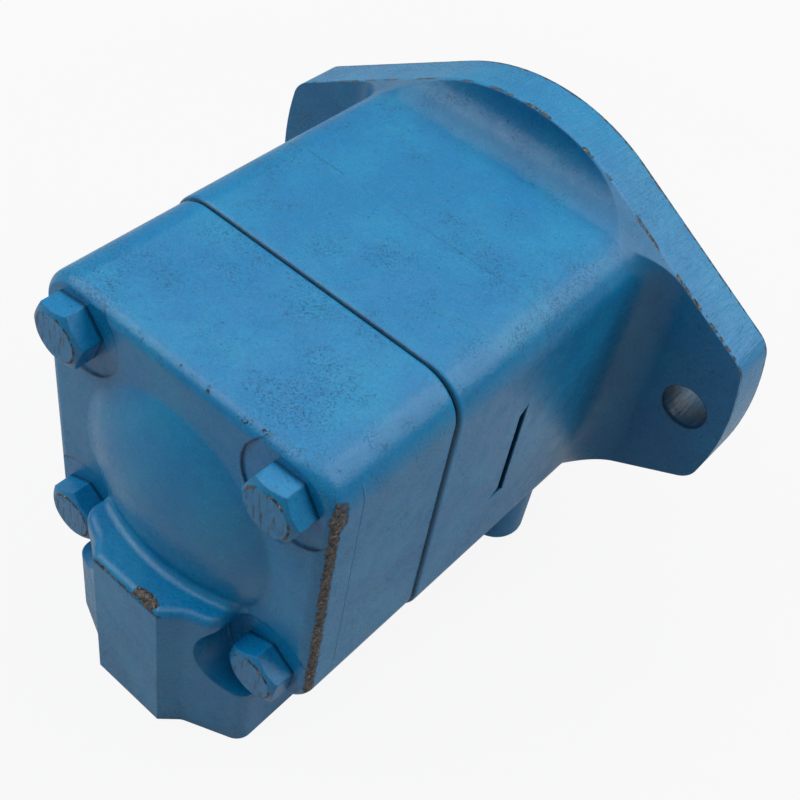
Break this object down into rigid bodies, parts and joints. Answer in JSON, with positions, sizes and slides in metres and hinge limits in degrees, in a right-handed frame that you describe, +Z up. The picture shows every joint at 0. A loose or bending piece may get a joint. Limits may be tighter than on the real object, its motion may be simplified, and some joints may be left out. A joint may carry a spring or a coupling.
{
  "type": "hydraulic vane pump",
  "caption": "Cast iron hydraulic vane pump with a square barrel, domed bolted cover, underside ports, keyed shaft and two-bolt mounting flange.",
  "frame": {"origin": "centre of the mounting flange's face, on the shaft axis", "axes": "+Y along the shaft towards its free end, +Z up, away from both ports"},
  "size_m": [0.1726, 0.2007, 0.1363],
  "materials": {
    "enamel": "satin enamel over sand-cast iron",
    "ground_steel": "ground",
    "bearing_steel": "polished",
    "spring_steel": "oil blacked",
    "bush_bronze": "machined bronze",
    "seal_rubber": "matt nitrile"
  },
  "bodies": {
    "housing": {"body": "enamel", "cover": "enamel", "cover_screws": "enamel", "bearing_outer_race": "bearing_steel", "body_snap_ring": "spring_steel", "shaft_seal_case": "bearing_steel", "shaft_seal_lip": "seal_rubber", "shaft_bush": "bush_bronze", "cam_ring": "ground_steel", "dowel_pins": "ground_steel", "pressure_plate": "bush_bronze", "plate_seal": "seal_rubber", "seam_seal": "seal_rubber", "plate_spring": "spring_steel"},
    "shaft": {"drive_shaft": "ground_steel", "shaft_key": "ground_steel", "shaft_snap_ring": "spring_steel", "bearing_inner_race": "bearing_steel", "rotor": "ground_steel"},
    "ball_set": {"bearing_balls": "bearing_steel", "bearing_cage": "bearing_steel"},
    "vane_1": {"vane_1": "ground_steel"},
    "vane_2": {"vane_2": "ground_steel"},
    "vane_3": {"vane_3": "ground_steel"},
    "vane_4": {"vane_4": "ground_steel"},
    "vane_5": {"vane_5": "ground_steel"},
    "vane_6": {"vane_6": "ground_steel"},
    "vane_7": {"vane_7": "ground_steel"},
    "vane_8": {"vane_8": "ground_steel"},
    "vane_9": {"vane_9": "ground_steel"},
    "vane_10": {"vane_10": "ground_steel"},
    "vane_11": {"vane_11": "ground_steel"},
    "vane_12": {"vane_12": "ground_steel"}
  },
  "joints": [
    {"name": "shaft_spin", "type": "hinge", "parent": "housing", "child": "shaft", "pos_m": [0, 0, 0], "axis": [0, 1, 0], "continuous": true},
    {"name": "ball_set_spin", "type": "hinge", "parent": "housing", "child": "ball_set", "pos_m": [0, 0, 0], "axis": [0, 1, 0], "continuous": true},
    {"name": "vane_1_slide", "type": "slide", "parent": "shaft", "child": "vane_1", "axis": [1, 0, 0], "range_m": [-0.001, 0]},
    {"name": "vane_2_slide", "type": "slide", "parent": "shaft", "child": "vane_2", "axis": [0.866, 0, 0.5], "range_m": [-0.001, 0]},
    {"name": "vane_3_slide", "type": "slide", "parent": "shaft", "child": "vane_3", "axis": [0.5, 0, 0.866], "range_m": [-0.001, 0]},
    {"name": "vane_4_slide", "type": "slide", "parent": "shaft", "child": "vane_4", "axis": [0, 0, 1], "range_m": [-0.001, 0]},
    {"name": "vane_5_slide", "type": "slide", "parent": "shaft", "child": "vane_5", "axis": [-0.5, 0, 0.866], "range_m": [-0.001, 0]},
    {"name": "vane_6_slide", "type": "slide", "parent": "shaft", "child": "vane_6", "axis": [-0.866, 0, 0.5], "range_m": [-0.001, 0]},
    {"name": "vane_7_slide", "type": "slide", "parent": "shaft", "child": "vane_7", "axis": [-1, 0, 0], "range_m": [-0.001, 0]},
    {"name": "vane_8_slide", "type": "slide", "parent": "shaft", "child": "vane_8", "axis": [-0.866, 0, -0.5], "range_m": [-0.001, 0]},
    {"name": "vane_9_slide", "type": "slide", "parent": "shaft", "child": "vane_9", "axis": [-0.5, 0, -0.866], "range_m": [-0.001, 0]},
    {"name": "vane_10_slide", "type": "slide", "parent": "shaft", "child": "vane_10", "axis": [0, 0, -1], "range_m": [-0.001, 0]},
    {"name": "vane_11_slide", "type": "slide", "parent": "shaft", "child": "vane_11", "axis": [0.5, 0, -0.866], "range_m": [-0.001, 0]},
    {"name": "vane_12_slide", "type": "slide", "parent": "shaft", "child": "vane_12", "axis": [0.866, 0, -0.5], "range_m": [-0.001, 0]}
  ],
  "couplings": [
    {"joint": "ball_set_spin", "follows": "shaft_spin", "ratio": 0.41299}
  ]
}
